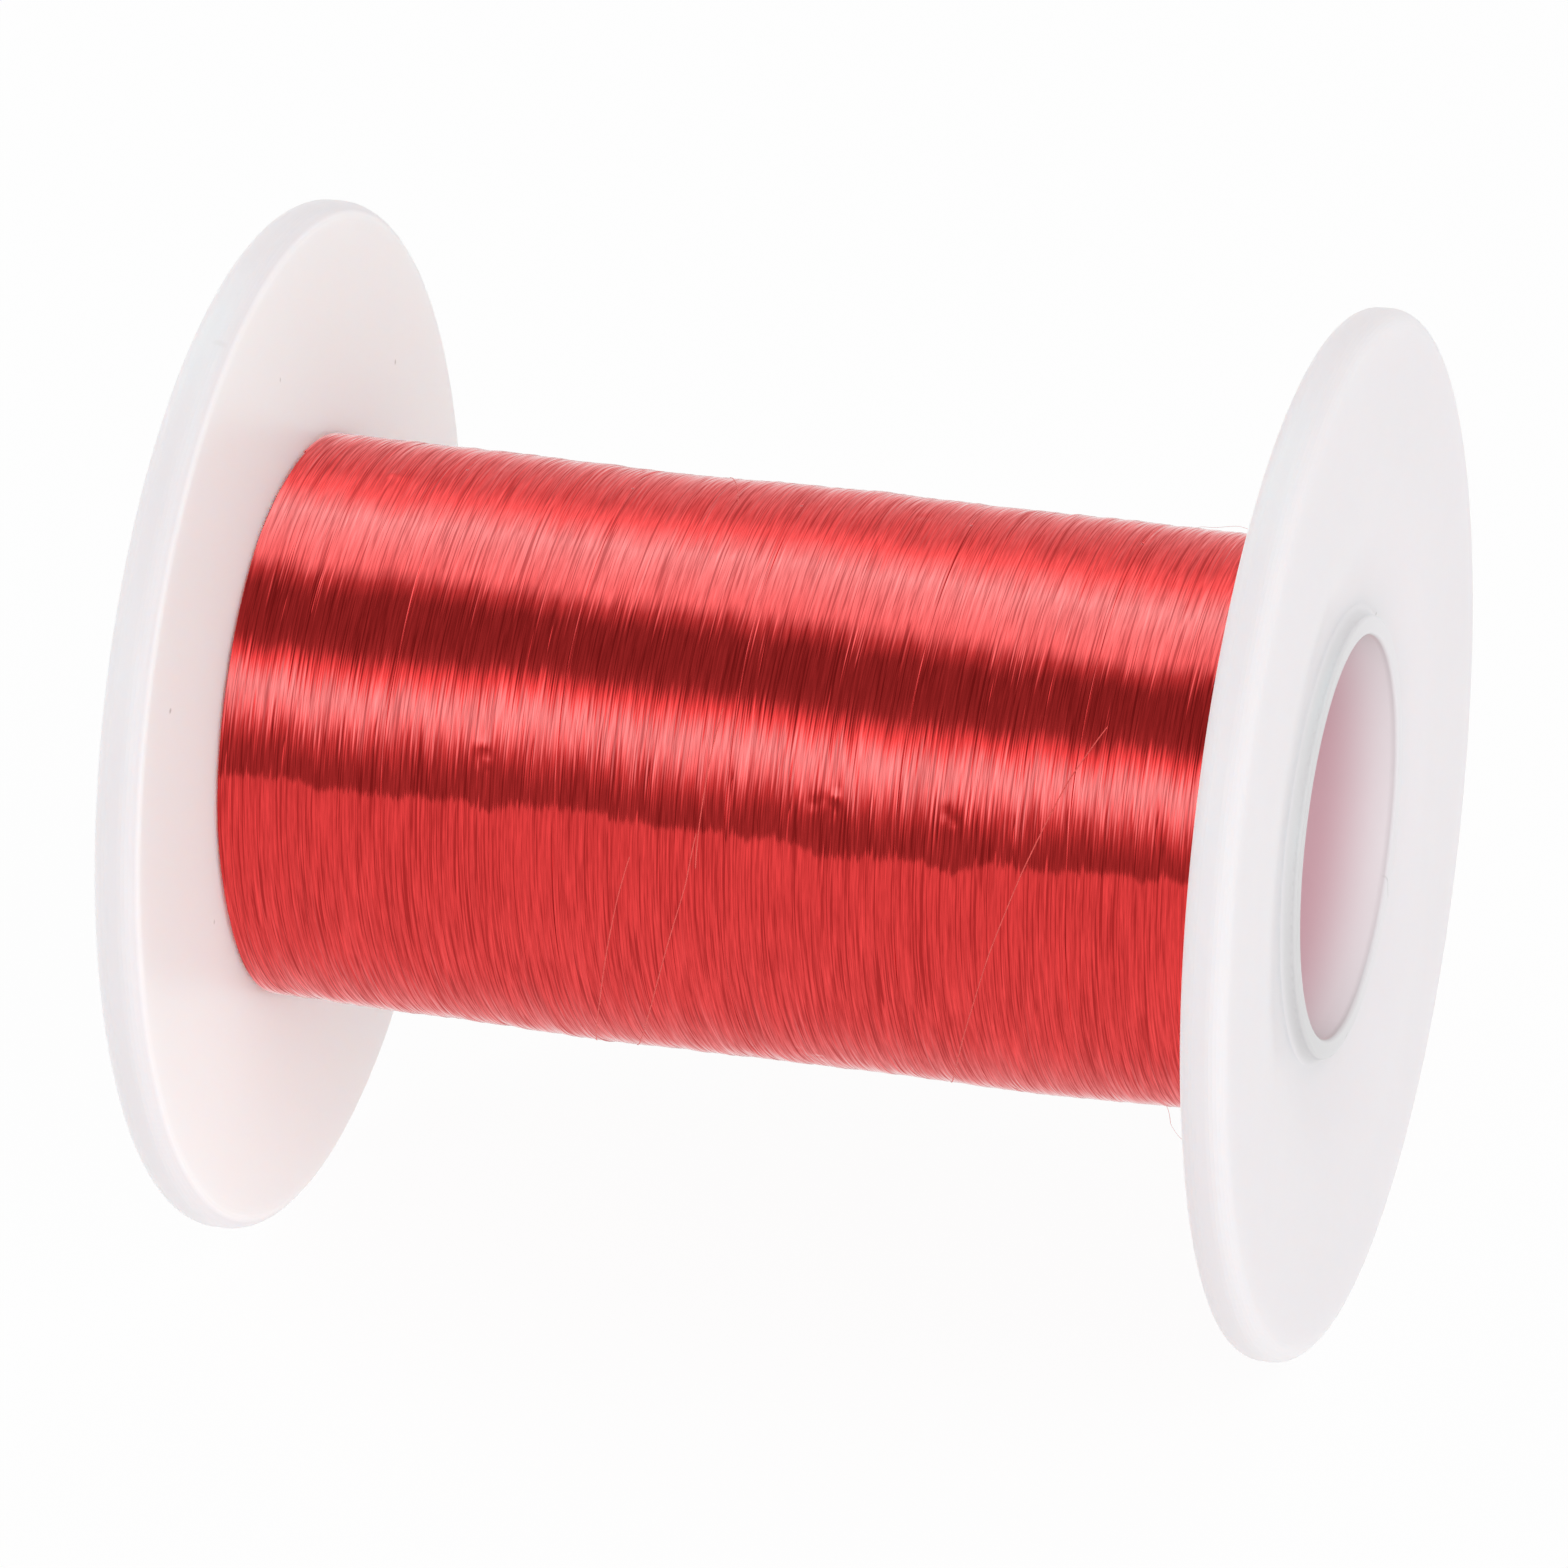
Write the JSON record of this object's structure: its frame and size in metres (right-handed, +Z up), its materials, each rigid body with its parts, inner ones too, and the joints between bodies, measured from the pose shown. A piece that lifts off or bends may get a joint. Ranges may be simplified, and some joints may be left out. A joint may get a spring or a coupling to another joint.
{
  "type": "spool of thread",
  "caption": "Two-flange plastic spool on a hollow barrel, wound with a smooth package of very fine red thread, with a bore for a spindle.",
  "frame": {"origin": "the middle of the bore, on its axis", "axes": "+X along the bore's axis towards the right flange, +Z up with the spool lying on its two rims"},
  "size_m": [0.0564, 0.052, 0.052],
  "materials": {
    "spool_plastic": "milky translucent moulded plastic with a soft gloss",
    "thread": "very fine red strand with a silky lustre"
  },
  "bodies": {
    "root": {"barrel": "spool_plastic", "left_flange": "spool_plastic", "right_flange": "spool_plastic", "winding_core": "thread", "winding_outer_layer": "thread"}
  },
  "joints": []
}
